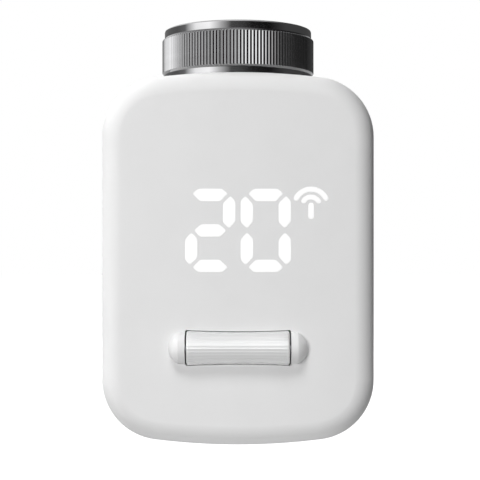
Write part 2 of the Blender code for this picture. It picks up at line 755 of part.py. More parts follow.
def build():
    clear_scene()
    shell_white = finish("shell_white", (0.80, 0.80, 0.80), 0.38)
    roller_silver = finish("roller_silver", (0.78, 0.78, 0.78), 0.3, 0.6)
    black_nickel = finish("black_nickel", (0.23, 0.23, 0.24), 0.22, 1.0)
    inner_grey = finish("inner_grey", (0.33, 0.34, 0.35), 0.55)
    gear_white = finish("gear_white", (0.70, 0.69, 0.62), 0.45)
    brass = finish("brass", (0.72, 0.55, 0.25), 0.3, 1.0)
    steel = finish("steel", (0.56, 0.57, 0.58), 0.3, 1.0)
    board_green = finish("board_green", (0.03, 0.18, 0.08), 0.45)
    chip_black = finish("chip_black", (0.03, 0.03, 0.03), 0.5)
    cell_wrap = finish("cell_wrap", (0.07, 0.16, 0.32), 0.3)
    milk_white = finish("milk_white", (0.9, 0.9, 0.9), 0.4)

    case = body_empty("case_body", (0, 0, 0))
    nut = body_empty("union_nut_axis", (0, 0, 0))
    cover = body_empty("battery_cover_body", (0, BACK_Y, CASE_CENTRE_Z))
    plunger_body = body_empty("plunger_axis", (0, 0, PLUNGER_TIP_Z))
    drive = body_empty("drive_gear_axis", (0, 0, 0))
    second = body_empty("second_gear_axis", SECOND_CENTRE)
    first = body_empty("first_gear_axis", FIRST_CENTRE)
    motor = body_empty("motor_pinion_axis", MOTOR_CENTRE)
    carrier = body_empty("roller_carrier_body", (0, ROLLER_Y, ROLLER_Z))
    roller = body_empty("thumb_roller_axis", (0, ROLLER_Y, ROLLER_Z))

    solid("front_shell", front_shell(), shell_white, case)
    solid("battery_cover", battery_cover(), shell_white, cover)
    solid("battery_tray", battery_tray(), inner_grey, case)
    for i, (x, z) in enumerate(POST_PLACES):
        place = (x, 0, z + CASE_CENTRE_Z)
        shape = screw(7.5, 1.9, 0.8, 18.85, place, "Y")
        solid(f"tray_screw_{i + 1}", shape, steel, case, place)

    solid("union_nut", union_nut(), black_nickel, nut)
    solid("valve_coupling", valve_coupling(), brass, case)
    for i, (x, y) in enumerate(SCREW_PLACES):
        shape = screw(6.6, 1.7, 0.75, -14.6, (x, y, 0))
        solid(f"coupling_screw_{i + 1}", shape, steel, case, (x, y, 0))
    solid("plunger", plunger(), gear_white, plunger_body)

    solid("gearbox_base", gearbox_base(), inner_grey, case)
    solid("gearbox_cover", gearbox_cover(), inner_grey, case)
    solid("drive_gear", drive_gear(), gear_white, drive)
    washer = turned(((2.4, -25.2), (3.3, -25.2), (3.3, -24.9), (2.4, -24.9)), 24, capped=False)
    solid("thrust_washer", washer, steel, case)
    solid("second_gear", second_gear(), gear_white, second)
    solid("first_gear", first_gear(), gear_white, first)
    solid("second_gear_pin", rod(PIN_RADIUS, -25.4, -17.8, SECOND_CENTRE, steps=12), steel, case, SECOND_CENTRE)
    solid("first_gear_pin", rod(PIN_RADIUS, -28.9, -22.6, FIRST_CENTRE, steps=12), steel, case, FIRST_CENTRE)
    solid("motor_pinion", motor_pinion(), brass, motor)
    solid("motor_gearhead", motor_gearhead(), steel, case, MOTOR_CENTRE)
    solid("motor_can", motor_can(), steel, case, MOTOR_CENTRE)

    for side, name in ((-1, "left"), (1, "right")):
        place = (side * CELL_X, CELL_Y, 0)
        solid(f"battery_{name}", cell(side), cell_wrap, case, place)
        solid(f"contact_plate_{name}", contact_plate(side), steel, case, place)
        solid(f"contact_spring_{name}", contact_spring(side), steel, case, place)
    solid("contact_bridge", contact_bridge(), steel, case)

    solid("thumb_roller", thumb_roller(), roller_silver, roller)
    solid("roller_core", roller_core(), chip_black, roller)
    solid("roller_magnet", roller_magnet(), steel, roller)
    axle = rod(AXLE_RADIUS, -13.6, 13.6, (0, ROLLER_Y, ROLLER_Z), "X", 16)
    solid("roller_axle", axle, steel, carrier)
    solid("roller_carrier", roller_carrier(), inner_grey, carrier)
    button = rod(0.8, -19.7, -19.1, (0, 0, ROLLER_Z), "Y", 12)
    solid("switch_button", button, chip_black, carrier)
    switch = box((-3, -19.4, ROLLER_Z - 1.7), (3, -18.1, ROLLER_Z + 1.7))
    switch = cut(switch, rod(1.1, -21, -18.6, (0, 0, ROLLER_Z), "Y", 12))
    solid("push_switch", switch, chip_black, case)

    solid("display_diffuser", box(
        (-12.6, -23.75, DIGIT_LOW_Z - 1.2), (19.9, -23.35, DIGIT_LOW_Z + 19.4)
    ), milk_white, case)
    solid("display_light_box", display_light_box(), chip_black, case)
    solid("led_array", led_array(), board_green, case)
    solid("main_board", main_board(), board_green, case)
    for i, (x, z) in enumerate(BOARD_POST_PLACES):
        place = (x, 0, z + CASE_CENTRE_Z)
        shape = screw(5.6, 1.6, 0.65, BOARD_BACK_Y + GAP, place, "Y")
        solid(f"board_screw_{i + 1}", shape, steel, case, place)
    solid("radio_module", radio_module(), steel, case)
    sensor_z = CASE_CENTRE_Z - 33.2
    hall_chip = box((7.9, -18.9, ROLLER_Z - 1.2), (10.6, -18.1, ROLLER_Z + 1.2))
    solid("hall_sensor", hall_chip, chip_black, case)
    sensor = box((7.2, -18.9, sensor_z - 0.8), (8.8, -18.1, sensor_z + 0.8))
    solid("temperature_sensor", sensor, chip_black, case)


build()
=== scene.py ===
"""The looks of an electronic thermostatic radiator valve head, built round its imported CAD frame.

Sizes are in millimetres until a Draft turns them to metres. The frame is the CAD's: +Z points out of the
union nut, the display faces -Y, and the origin is the centre of the valve seat.
"""

import logging
import math
from collections.abc import Callable, Iterable
from dataclasses import dataclass
from enum import Enum

import bmesh
import bpy
from bpy.types import Material, Node, NodeSocket, NodeTree, Object
from mathutils import Matrix, Vector


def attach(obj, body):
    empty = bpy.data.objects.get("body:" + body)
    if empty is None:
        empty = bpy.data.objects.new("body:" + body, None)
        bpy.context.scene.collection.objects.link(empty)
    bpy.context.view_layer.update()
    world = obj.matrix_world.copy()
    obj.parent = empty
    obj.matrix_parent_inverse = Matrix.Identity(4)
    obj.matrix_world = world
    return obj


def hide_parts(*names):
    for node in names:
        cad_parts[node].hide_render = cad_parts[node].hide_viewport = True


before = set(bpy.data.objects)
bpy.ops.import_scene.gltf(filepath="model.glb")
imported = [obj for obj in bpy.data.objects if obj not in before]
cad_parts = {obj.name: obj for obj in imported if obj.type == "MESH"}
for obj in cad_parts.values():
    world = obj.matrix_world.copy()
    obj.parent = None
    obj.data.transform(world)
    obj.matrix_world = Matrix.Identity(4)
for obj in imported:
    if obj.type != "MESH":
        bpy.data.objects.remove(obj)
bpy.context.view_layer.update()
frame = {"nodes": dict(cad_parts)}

LOG = logging.getLogger("valve_head")
MM = 0.001
WELD = 2e-6

Point = tuple[float, float, float]
Profile = list[tuple[float, float]]


class Axis(Enum):
    """The directions that arcs are swept about."""

    X = (1.0, 0.0, 0.0)
    Y = (0.0, 1.0, 0.0)
    Z = (0.0, 0.0, 1.0)


class Carve(Enum):
    """How a tool's shape changes a piece."""

    CUT = "DIFFERENCE"
    JOIN = "UNION"


class Grain(Enum):
    """The texture that a surface's making leaves on it."""

    SPARKED = "an even fine grain from a spark-eroded mould"
    LATHED = "fine rings from turning about the part's own axis"
    DRAWN = "fine lines along one direction, from rolling or brushing"
    PRINTED = "copper tracks under a solder mask"


# Drawing


def select_only(piece: Object) -> None:
    """Deselects everything else and makes the piece active."""
    bpy.ops.object.select_all(action="DESELECT")
    piece.select_set(True)
    bpy.context.view_layer.objects.active = piece


class Draft:
    """A mesh drawn with the edit tools from one vertex, in millimetres, in place.

    After each stroke the newest vertex, edge or profile is the one selected, so strokes follow on.
    """

    def __init__(self, name: str, start: Point) -> None:
        """Starts a piece as one vertex.

        Args:
            name: The piece's name.
            start: Where its first vertex is.
        """
        bpy.ops.object.select_all(action="DESELECT")
        bpy.ops.mesh.primitive_plane_add(size=MM)
        self.piece = bpy.context.object
        self.piece.name = name
        self.at = Vector(start)
        bpy.ops.object.mode_set(mode="EDIT")
        bpy.ops.mesh.merge(type="CENTER")
        bpy.ops.transform.translate(value=self.at * MM)

    def line(self, *points: Point) -> "Draft":
        """Draws straight lines from the last vertex through points, and returns the draft."""
        for point in points:
            self.push(Vector(point) - self.at)
            self.at = Vector(point)
        return self

    def arc(self, centre: Point, degrees: float, steps: int, axis: Axis = Axis.Z) -> "Draft":
        """Draws an arc from the last vertex.

        Args:
            centre: The arc's centre.
            degrees: How far it turns about the axis, right-handed.
            steps: The number of straight parts.
            axis: The direction that it turns about.

        Returns:
            The draft.
        """
        self.spin(centre, degrees, steps, axis)
        turn = Matrix.Rotation(math.radians(degrees), 3, Vector(axis.value))
        self.at = Vector(centre) + turn @ (self.at - Vector(centre))
        return self

    def push(self, offset: Iterable[float]) -> None:
        """Extrudes what is selected by an offset."""
        step = Vector(offset) * MM
        bpy.ops.mesh.extrude_region_move(TRANSFORM_OT_translate={"value": step})

    def spin(
        self, centre: Point, degrees: float, steps: int, axis: Axis = Axis.Z, copies: bool = False
    ) -> None:
        """Sweeps, or with copies repeats, what is selected about an axis.

        Args:
            centre: A point on the axis.
            degrees: The whole turn, right-handed.
            steps: The number of parts or copies.
            axis: The direction that it turns about.
            copies: Whether to repeat the selection and not to join it up.
        """
        # The spin tool turns left-handed.
        angle, middle = -math.radians(degrees), Vector(centre) * MM
        bpy.ops.mesh.spin(steps=steps, dupli=copies, angle=angle, center=middle, axis=axis.value)

    def whole(self) -> None:
        """Selects all of the mesh."""
        bpy.ops.mesh.select_all(action="SELECT")

    def pick(self, test: Callable[[Vector], bool], open_only: bool = False) -> None:
        """Selects the vertices that pass a test, with the edges and faces between them.

        Args:
            test: Says whether a vertex, given by its place, is wanted.
            open_only: Whether to take only vertices on an open edge.
        """
        bpy.ops.mesh.select_all(action="DESELECT")
        bpy.ops.mesh.select_mode(type="VERT")
        mesh = bmesh.from_edit_mesh(self.piece.data)
        for vertex in mesh.verts:
            if test(vertex.co / MM) and (vertex.is_boundary or not open_only):
                vertex.select = True
        mesh.select_flush(True)
        bmesh.update_edit_mesh(self.piece.data)

    def weld(self) -> None:
        """Merges vertices that meet, and selects all of the mesh."""
        self.whole()
        bpy.ops.mesh.remove_doubles(threshold=WELD)

    def cap(self, test: Callable[[Vector], bool]) -> None:
        """Fills the open loop whose vertices pass a test with one face."""
        self.pick(test, open_only=True)
        bpy.ops.mesh.edge_face_add()

    def stretch(self, factors: Point, centre: Point) -> None:
        """Scales what is selected about a point."""
        bpy.ops.transform.resize(value=factors, center_override=Vector(centre) * MM)

    def plate(self, offset: Point) -> Object:
        """Fills the closed outline that was drawn, gives it a thickness, and finishes the piece.

        Args:
            offset: The way and distance from the outline's face to the other one.

        Returns:
            The finished piece.
        """
        self.weld()
        bpy.ops.mesh.edge_face_add()
        self.push(offset)
        return self.done()

    def done(self, smooth_below: float = 30.0) -> Object:
        """Welds the mesh, points its faces outwards and shades it.

        Args:
            smooth_below: The angle between faces, in degrees, under which an edge is shaded smooth.

        Returns:
            The finished piece, in object mode.
        """
        self.weld()
        bpy.ops.mesh.normals_make_consistent(inside=False)
        bpy.ops.object.mode_set(mode="OBJECT")
        shade(self.piece, smooth_below)
        return self.piece


def shade(piece: Object, smooth_below: float = 30.0) -> None:
    """Shades a piece smooth, apart from edges sharper than an angle in degrees."""
    select_only(piece)
    bpy.ops.object.shade_smooth_by_angle(angle=math.radians(smooth_below))


def apply_modifier(piece: Object, kind: str, **settings: object) -> None:
    """Adds a modifier with its settings and applies it.

    Args:
        piece: The piece it works on.
        kind: Blender's name for the modifier's type.
        settings: The modifier's properties.
    """
    select_only(piece)
    bpy.ops.object.modifier_add(type=kind)
    modifier = piece.modifiers[-1]
    for name, value in settings.items():
        setattr(modifier, name, value)
    bpy.ops.object.modifier_apply(modifier=modifier.name)


def carve(piece: Object, *tools: Object, how: Carve = Carve.CUT) -> None:
    """Cuts tools from a piece, or joins them to it, and removes the tools.

    Args:
        piece: The piece that changes.
        tools: The shapes that it is changed by.
        how: Whether they are cut away or joined on.
    """
    for tool in tools:
        apply_modifier(piece, "BOOLEAN", operation=how.value, solver="EXACT", object=tool)
        bpy.data.objects.remove(tool)


def flatten_shading(piece: Object, smooth_below: float = 20.0) -> None:
    """Shades a piece smooth with normals weighted by area, so that faces beside a rounded edge look flat.

    Args:
        piece: The piece.
        smooth_below: The angle between faces, in degrees, under which an edge is shaded smooth.
    """
    shade(piece, smooth_below)
    # The modifier passes over faces under a square centimetre, so it works on the piece enlarged.
    enlarge(piece, 1 / MM)
    apply_modifier(piece, "WEIGHTED_NORMAL", keep_sharp=True, weight=90)
    enlarge(piece, MM)


def enlarge(piece: Object, factor: float) -> None:
    """Scales a piece's mesh about the origin."""
    select_only(piece)
    piece.scale = (factor, factor, factor)
    bpy.ops.object.transform_apply(location=False, rotation=False, scale=True)


def block(low: Point, high: Point) -> Object:
    """A rectangular tool between two corners."""
    bpy.ops.object.select_all(action="DESELECT")
    middle, size = (Vector(low) + Vector(high)) / 2, Vector(high) - Vector(low)
    bpy.ops.mesh.primitive_cube_add(size=MM, location=middle * MM, scale=size)
    return bpy.context.object


def drum(
    radius: float, low: float, high: float, centre: Point = (0, 0, 0), along: Axis = Axis.Z
) -> Object:
    """A round tool.

    Args:
        radius: Its radius.
        low: Where it starts along its axis.
        high: Where it ends along its axis.
        centre: A point on its axis, counted from which low and high run.
        along: The direction of its axis.

    Returns:
        The tool.
    """
    direction = Vector(along.value)
    tilt = direction.to_track_quat("Z", "Y").to_euler()
    bpy.ops.object.select_all(action="DESELECT")
    bpy.ops.mesh.primitive_cylinder_add(
        vertices=96,
        radius=radius * MM,
        depth=(high - low) * MM,
        location=(Vector(centre) + direction * (low + high) / 2) * MM,
        rotation=tilt,
    )
    return bpy.context.object


def slot_tool(start: Point, end: Point, radius: float, depth: Point) -> Object:
    """A slot with round ends, to cut with.

    Args:
        start: The centre of one round end, on the slot's open face.
        end: The centre of the other round end.
        radius: Half of the slot's width.
        depth: The way and distance that the slot goes in.

    Returns:
        The tool.
    """
    along = (Vector(end) - Vector(start)).normalized()
    inward = Vector(depth).normalized()
    aside = along.cross(inward) * radius
    axis = next(a for a in Axis if abs(Vector(a.value) @ inward) > 0.5)
    half_turn = -180.0 if Vector(axis.value) @ inward > 0 else 180.0
    draft = Draft("slot_tool", tuple(Vector(start) - aside))
    draft.line(tuple(Vector(end) - aside)).arc(end, half_turn, 10, axis)
    draft.line(tuple(Vector(start) + aside)).arc(start, half_turn, 10, axis)
    return draft.plate(depth)


def turned(name: str, profile: Profile, steps: int, centre: Point = (0, 0, 0)) -> Draft:
    """A piece turned about a line parallel to Z.

    Args:
        name: The piece's name.
        profile: The profile's (radius, height) points in order, from axis to axis or round a closed loop.
        steps: The number of flat parts round the piece.
        centre: A point on the axis.

    Returns:
        The draft, still being edited.
    """
    middle = Vector(centre)
    points = [tuple(middle + Vector((radius, 0, height))) for radius, height in profile]
    draft = Draft(name, points[0])
    draft.line(*points[1:])
    if profile[0][0] > 0:
        draft.line(points[0])
    draft.weld()
    draft.spin(centre, 360.0, steps)
    draft.weld()
    return draft


# Materials


def linear(colour: str) -> tuple[float, ...]:
    """The linear RGBA of an sRGB hex colour."""
    parts = [int(colour[i : i + 2], 16) / 255 for i in (1, 3, 5)]
    channels = [part / 12.92 if part <= 0.04045 else ((part + 0.055) / 1.055) ** 2.4 for part in parts]
    return (*channels, 1.0)


def add_node(
    tree: NodeTree,
    kind: str,
    sockets: dict | None = None,
    stops: Iterable[tuple[float, float | tuple]] = (),
    **settings: object,
) -> Node:
    """Adds a shader node.

    Args:
        tree: The node tree.
        kind: Blender's name for the node's type, without the ShaderNode that it starts with.
        sockets: For each input, by name or number, its value, or the output or the node that feeds it.
        stops: A colour ramp's stops in order, each a place and a linear colour or grey.
        settings: The node's own properties.

    Returns:
        The node.
    """
    made = tree.nodes.new("ShaderNode" + kind)
    for name, value in settings.items():
        setattr(made, name, value)
    for socket, value in (sockets or {}).items():
        source = value.outputs[0] if isinstance(value, Node) else value
        if isinstance(source, NodeSocket):
            tree.links.new(source, made.inputs[socket])
        else:
            made.inputs[socket].default_value = source
    for number, (place, colour) in enumerate(stops):
        bar = made.color_ramp.elements
        if number == 0:
            bar.remove(bar[1])
        stop = bar.new(place) if number else bar[0]
        stop.position = place
        stop.color = colour if isinstance(colour, tuple) else (colour, colour, colour, 1.0)
    return made


@dataclass(frozen=True)
class Finish:
    """A real material with the grain that its making leaves.

    The colour varies between colour and tint, and the roughness by its spread, over patches of patch_mm.
    """

    name: str
    slot: str
    colour: str
    tint: str
    roughness: float
    spread: float = 0.05
    metallic: float = 0.0
    grain: Grain = Grain.SPARKED
    grain_mm: float = 0.35
    relief_mm: float = 0.004
    patch_mm: float = 9.0
    coat: float = 0.0
    glow: float = 0.0

    def place(self, tree: NodeTree) -> NodeSocket:
        """The coordinates that the grain is drawn in: the object's own, in metres, folded for rings or lines.

        Args:
            tree: The material's node tree.

        Returns:
            The output that holds them.
        """
        source = add_node(tree, "TexCoord").outputs["Object"]
        if self.grain is Grain.LATHED:
            flat = add_node(tree, "VectorMath", {0: source, 1: (1.0, 1.0, 0.0)}, operation="MULTIPLY")
            radius = add_node(tree, "VectorMath", {0: flat}, operation="LENGTH").outputs["Value"]
            height = add_node(tree, "SeparateXYZ", {0: source}).outputs["Z"]
            return add_node(tree, "CombineXYZ", {"X": radius, "Y": height}).outputs[0]
        if self.grain is Grain.DRAWN:
            return add_node(tree, "Mapping", {"Vector": source, "Scale": (1.0, 1.0, 0.03)}).outputs[0]
        return source

    def material(self) -> Material:
        """Builds the material from nodes."""
        made = bpy.data.materials.new(self.name)
        made.use_nodes = True
        tree = made.node_tree
        shader = tree.nodes["Principled BSDF"]
        place = self.place(tree)
        fine_scale, patch_scale = 1 / (self.grain_mm * MM), 1 / (self.patch_mm * MM)
        fine = add_node(tree, "TexNoise", {"Vector": place, "Scale": fine_scale, "Detail": 3.0})
        patches = add_node(tree, "TexNoise", {"Vector": place, "Scale": patch_scale, "Detail": 2.0})
        ends = ((0.3, linear(self.colour)), (0.7, linear(self.tint)))
        shades = add_node(tree, "ValToRGB", {"Fac": patches}, ends).outputs[0]
        if self.grain is Grain.PRINTED:
            shades = self.tracks(tree, place, shades)
        low, high = self.roughness - self.spread, self.roughness + self.spread
        rough = add_node(tree, "MapRange", {"Value": patches, "To Min": low, "To Max": high}).outputs[0]
        bump = add_node(tree, "Bump", {"Height": fine, "Distance": self.relief_mm * MM}).outputs[0]
        for socket, source in (("Base Color", shades), ("Roughness", rough), ("Normal", bump)):
            tree.links.new(source, shader.inputs[socket])
        shader.inputs["Metallic"].default_value = self.metallic
        shader.inputs["Coat Weight"].default_value = self.coat
        if self.glow:
            shader.inputs["Emission Color"].default_value = linear(self.colour)
            shader.inputs["Emission Strength"].default_value = self.glow
        return made

    def tracks(self, tree: NodeTree, place: NodeSocket, base: NodeSocket) -> NodeSocket:
        """Draws paler copper tracks, 0.5 mm wide and about 3 mm apart, under the mask.

        Args:
            tree: The material's node tree.
            place: The coordinates.
            base: The mask's own colour.

        Returns:
            The colour with tracks.
        """
        spacing = {"Vector": place, "Scale": 1 / (3.0 * MM), "Randomness": 0.6}
        lattice = add_node(tree, "TexVoronoi", spacing, feature="DISTANCE_TO_EDGE")
        edge = add_node(tree, "ValToRGB", {"Fac": lattice}, ((0.06, 1.0), (0.09, 0.0)))
        mixed = add_node(tree, "Mix", {"Factor": edge, 6: base, 7: linear("#2E7347")}, data_type="RGBA")
        return mixed.outputs[2]


@dataclass(frozen=True)
class CellWrap(Finish):
    """A plain shrink wrap with a pale grey end, on a bare steel can, for one AA cell."""

    band: tuple[float, float] = (0.0, 0.0)
    wrap: tuple[float, float] = (0.0, 0.0)

    def material(self) -> Material:
        """Builds the material, with its colours in bands along Z."""
        made = super().material()
        tree = made.node_tree
        shader = tree.nodes["Principled BSDF"]
        source = add_node(tree, "TexCoord").outputs["Object"]
        height = add_node(tree, "SeparateXYZ", {0: source}).outputs["Z"]
        base = shader.inputs["Base Color"].links[0].from_socket
        # The pale band lies inside its limits, and the bare steel outside the wrap's.
        bands = ((self.band, "#C9CDD2", (0.0, 1.0, 1.0, 0.0)), (self.wrap, "#B9BCC0", (1.0, 0.0, 0.0, 1.0)))
        for (low, high), colour, shares in bands:
            share = add_node(tree, "MapRange", {"Value": height, "From Min": low * MM, "From Max": high * MM})
            mask = add_node(tree, "ValToRGB", {"Fac": share}, zip((0.0, 0.001, 0.999, 1.0), shares))
            mixed = add_node(tree, "Mix", {"Factor": mask, 6: base, 7: linear(colour)}, data_type="RGBA")
            base = mixed.outputs[2]
        tree.links.new(base, shader.inputs["Base Color"])
        return made


# ABS moulded in a spark-eroded tool: an even satin white whose grain only softens reflections.
SATIN_ABS = Finish(
    "satin_white_abs", "shell_white", "#EFEFEF", "#EDEDED", 0.42, 0.03, grain_mm=0.4, relief_mm=0.0022
)
# A pearl-silver coating sprayed on a moulded sleeve: bright, with a soft metallic sheen.
PEARL_SILVER = Finish(
    "pearl_silver_coating", "roller_silver", "#F2F2F2", "#EDEEEE", 0.26, 0.03,
    metallic=0.6, grain_mm=0.2, relief_mm=0.0008, coat=0.3,
)
# Black nickel over turned brass: a dark mirror with faint turning rings.
BLACK_NICKEL = Finish(
    "polished_black_nickel", "black_nickel", "#A5A5A6", "#9E9E9F", 0.07, 0.015,
    metallic=1.0, grain=Grain.LATHED, grain_mm=0.18, relief_mm=0.0001, patch_mm=3.0,
)
# Light through the thin front wall: flat, even and white.
LIT_WINDOW = Finish("lit_display_window", "display_light", "#FBFBFB", "#FBFBFB", 0.4, glow=0.26)
# Glass-filled nylon, as inner panels and gearboxes are: dark grey and slightly mottled.
GLASS_NYLON = Finish(
    "glass_filled_nylon", "inner_grey", "#9A9C9E", "#8E9092", 0.55, grain_mm=0.5, relief_mm=0.012
)
# Natural acetal, as small gears are: a waxy off-white.
ACETAL = Finish("natural_acetal", "gear_white", "#E6E3D6", "#DEDBCB", 0.38, relief_mm=0.002)
# Free-cutting brass straight from the lathe: bright yellow, with fine rings.
TURNED_BRASS = Finish(
    "turned_brass", "brass", "#E3C27A", "#D7B266", 0.24,
    metallic=1.0, grain=Grain.LATHED, grain_mm=0.22, relief_mm=0.003, patch_mm=4.0,
)
# Zinc-plated steel strip and wire: pale, with fine lines from rolling.
ZINC_STEEL = Finish(
    "zinc_plated_steel", "steel", "#C9CCD0", "#BCC0C6", 0.3,
    metallic=1.0, grain=Grain.DRAWN, grain_mm=0.15, relief_mm=0.002, patch_mm=5.0,
)
# A glass-epoxy board under green solder mask: glossy, with paler tracks. Its green is darkened past the
# mask's own tone as painted shade, so the gaps round the roller look dark.
DARKENED_SOLDER_MASK = Finish(
    "green_solder_mask_painted_shade", "board_green", "#17502D", "#144A2A", 0.35,
    grain=Grain.PRINTED, relief_mm=0.003, coat=0.3,
)
# Epoxy moulding compound, as on chips and switches: near black and matt.
MOULDED_EPOXY = Finish("black_moulded_epoxy", "chip_black", "#303133", "#2A2B2D", 0.5, relief_mm=0.006)
# A milky diffusing film, behind the digits.
DIFFUSER_FILM = Finish("milk_diffuser_film", "milk_white", "#F4F4F2", "#F0F0EE", 0.35)
# Plain PVC shrunk over a cell: dark blue and glossy.
SHRINK_WRAP = Finish("plain_shrink_wrap", "cell_wrap", "#2E3B55", "#2A3650", 0.22, grain_mm=2.0, coat=0.5)

FINISHES = (
    SATIN_ABS, PEARL_SILVER, BLACK_NICKEL, LIT_WINDOW, GLASS_NYLON, ACETAL,
    TURNED_BRASS, ZINC_STEEL, DARKENED_SOLDER_MASK, MOULDED_EPOXY, DIFFUSER_FILM, SHRINK_WRAP,
)


class Workshop:
    """Makes each finish's material once, and settles finished pieces on their bodies."""

    def __init__(self) -> None:
        """Starts with no material made."""
        self.made: dict[str, Material] = {}

    def material(self, finish: Finish) -> Material:
        """A finish's material."""
        if finish.name not in self.made:
            self.made[finish.name] = finish.material()
        return self.made[finish.name]

    def settle(self, piece: Object, body: str, finish: Finish, replaces: str = "") -> None:
        """Gives a piece its finish and its body, and hides the CAD node that it stands for.

        Args:
            piece: The finished piece.
            body: The CAD body that it moves with.
            finish: Its finish.
            replaces: The CAD node that it replaces, if any.
        """
        piece.data.materials.clear()
        piece.data.materials.append(self.material(finish))
        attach(piece, body)
        if replaces:
            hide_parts(replaces)
        LOG.info("%s: %s, on %s, %d faces", piece.name, finish.name, body, len(piece.data.polygons))


# The object


@dataclass
class Roller:
    """The fluted thumb roller, and the two bosses and the window that it sits between."""

    workshop: Workshop
    y: float = -25.0
    z: float = -63.0
    radius: float = 3.7
    half_length: float = 10.98
    waist: float = 0.28
    edge: float = 0.45
    bore: float = 2.7
    flutes: int = 32
    flute_depth: float = 0.05
    flute_steps: int = 8
    window_half: float = 11.26
    window_corner: float = 0.35
    window_gap: float = 0.11
    boss_radius: float = 3.35
    crease: float = 12.75
    dome_end: float = 14.9
    room_behind: float = 4.5

    def waist_radius(self, reach: float) -> float:
        """The radius of the arc that dips by the waist between two points a reach from the middle."""
        return (reach**2 + self.waist**2) / (2 * self.waist)

    def sleeve(self) -> Object:
        """The roller's sleeve: one flute's sector is swept, scooped and repeated round its axis."""
        reach = self.half_length - self.edge
        bend = self.waist_radius(reach)
        swing = math.degrees(2 * math.asin(reach / bend))
        rim_y = self.y - self.radius
        inner = (-self.half_length, self.y - self.bore, self.z)
        draft = Draft("thumb_roller_sleeve", inner)
        draft.line((-self.half_length, rim_y + self.edge, self.z))
        draft.arc((-reach, rim_y + self.edge, self.z), 90.0, 4)
        draft.arc((0, rim_y + self.waist - bend, self.z), -swing, 16)
        draft.arc((reach, rim_y + self.edge, self.z), 90.0, 4)
        draft.line((self.half_length, self.y - self.bore, self.z), inner)
        draft.weld()
        pitch = 360.0 / self.flutes
        centre = (0, self.y, self.z)
        draft.spin(centre, pitch, self.flute_steps, Axis.X)
        for step in range(1, self.flute_steps):
            scoop = 1 - self.flute_depth / self.radius * math.sin(math.pi * step / self.flute_steps)
            place = pitch * step / self.flute_steps
            draft.pick(lambda point: self.on_station(point, place))
            draft.stretch((1, scoop, scoop), centre)
        draft.whole()
        draft.spin(centre, pitch * (self.flutes - 1), self.flutes - 1, Axis.X, copies=True)
        return draft.done()

    def on_station(self, point: Vector, degrees: float) -> bool:
        """Whether a point is on the sleeve's outer skin, at an angle from the front."""
        across, up = self.y - point.y, self.z - point.z
        outside = math.hypot(across, up) > self.radius - self.edge - self.waist
        return outside and abs(math.degrees(math.atan2(up, across)) - degrees) < 0.5

    def window_tool(self) -> Object:
        """The tool for the roller's window, whose long edges follow the sleeve's waist."""
        reach = self.window_half - self.window_corner
        half = self.radius + self.window_gap
        bend = self.waist_radius(reach)
        swing = math.degrees(2 * math.asin(reach / bend))
        y, corner = self.y - 6, self.window_corner
        draft = Draft("window_tool", (-reach, y, self.z - half))
        for side in (1, -1):
            near, far = self.z - side * half, self.z + side * half
            draft.arc((0, y, near + side * (self.waist - bend)), swing, 16, Axis.Y)
            draft.arc((side * reach, y, near + side * corner), -90, 6, Axis.Y)
            draft.line((side * self.window_half, y, far - side * corner))
            draft.arc((side * reach, y, far - side * corner), -90, 6, Axis.Y)
        return draft.plate((0, 9, 0))

    def boss(self, side: int) -> Object:
        """One boss beside the window: a round collar with a ball-shaped cap.

        Args:
            side: 1 for the right end, -1 for the left.

        Returns:
            The boss, to be joined to the shell.
        """
        height = self.dome_end - self.crease
        ball = (self.boss_radius**2 + height**2) / (2 * height)
        ball_x = self.dome_end - ball
        opening = math.degrees(math.asin(self.boss_radius / ball))
        draft = Draft("roller_boss", (side * (self.window_half - 0.2), self.y, self.z))
        draft.line((side * (self.window_half - 0.2), self.y - self.boss_radius, self.z))
        draft.line((side * self.crease, self.y - self.boss_radius, self.z))
        draft.arc((side * ball_x, self.y, self.z), side * opening, 14)
        draft.whole()
        draft.spin((0, self.y, self.z), 360.0, 72, Axis.X)
        return draft.done()

    def fit_to(self, shell: Object) -> None:
        """Joins the bosses to the front shell and cuts its window, with room for the carrier's ears."""
        carve(shell, self.boss(1), self.boss(-1), how=Carve.JOIN)
        carve(shell, self.window_tool())
        ears, axle = (12.1, 13.8, 1.7, 1.6), (11.3, 12.5, 1.1, 1.1)
        for side in (1, -1):
            for near, far, out, half in (ears, axle):
                low_x, high_x = sorted((side * near, side * far))
                low = (low_x, self.y - out, self.z - half)
                carve(shell, block(low, (high_x, self.y + self.room_behind, self.z + half)))

    def build(self) -> None:
        """Builds the sleeve and sets it on its body."""
        self.workshop.settle(self.sleeve(), "thumb_roller", PEARL_SILVER, "thumb_roller")


